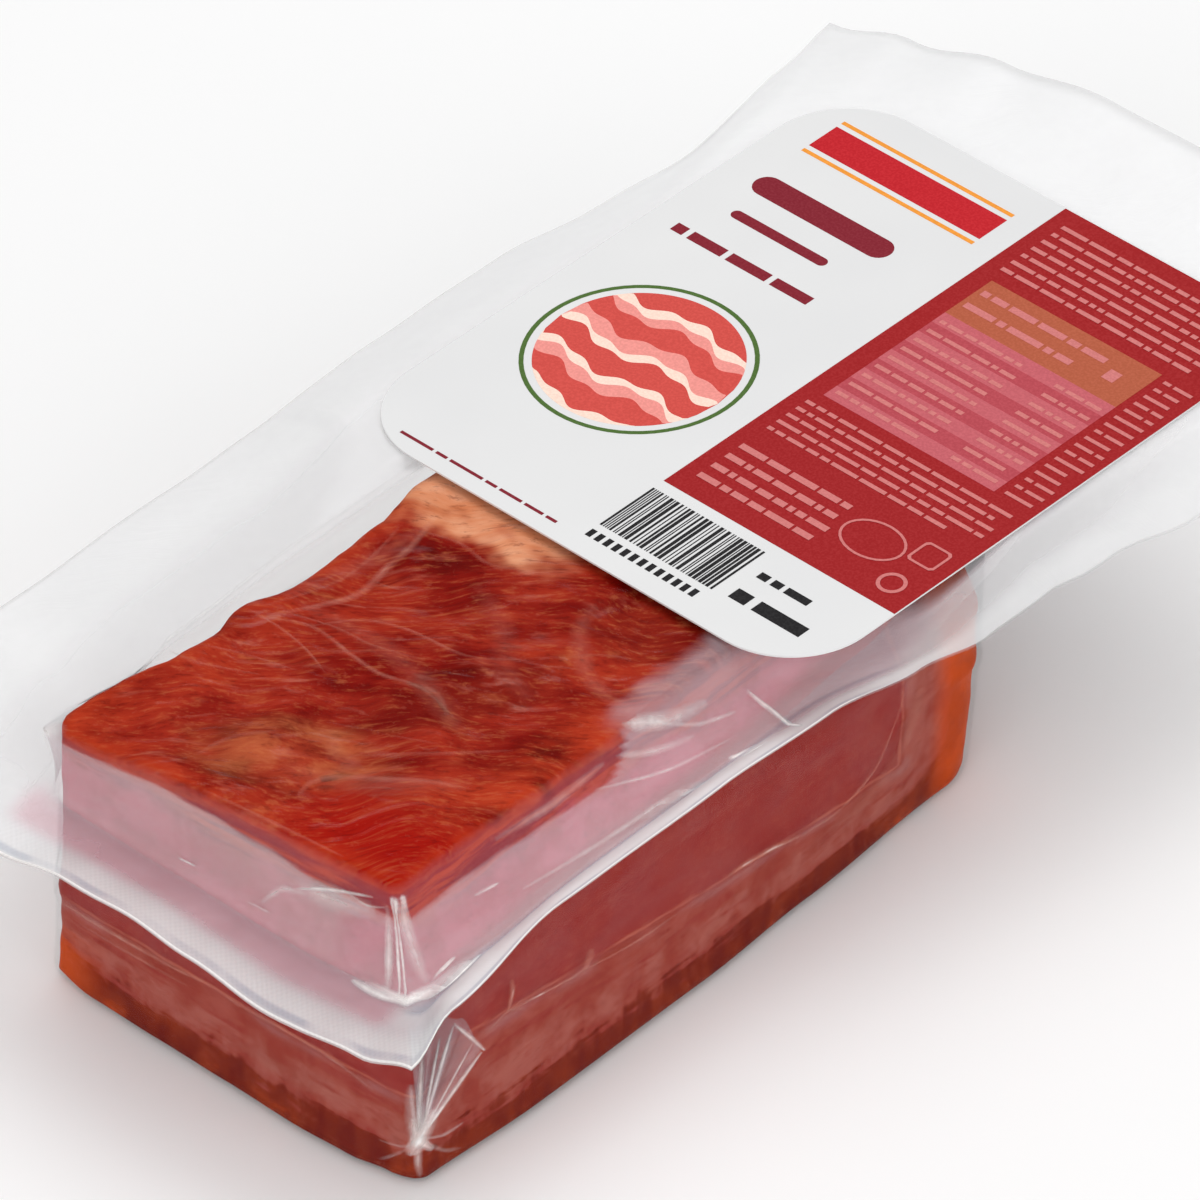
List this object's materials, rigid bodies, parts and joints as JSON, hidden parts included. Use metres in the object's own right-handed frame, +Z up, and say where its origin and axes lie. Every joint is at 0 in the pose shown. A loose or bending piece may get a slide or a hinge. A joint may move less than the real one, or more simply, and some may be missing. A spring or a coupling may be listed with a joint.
{
  "type": "bacon pack",
  "caption": "Sealed clear pack of smoked block bacon: formed lower film round the block, flat upper film reaching far past its rear end, and a large label stuck on top.",
  "frame": {"origin": "middle of the whole pack's footprint, on the surface that the block stands on", "axes": "+X to the right across the pack, +Y from the block's front to the film's rear end, +Z up"},
  "size_m": [0.098, 0.177, 0.0474],
  "materials": {
    "film": "clear soft film with a milky sealed rim",
    "meat": "moist smoked meat with fat streaks; matte to glossy",
    "label": "coated paper with fields of print"
  },
  "bodies": {
    "root": {"sealed_pouch": "film", "label": "label"}
  },
  "joints": []
}
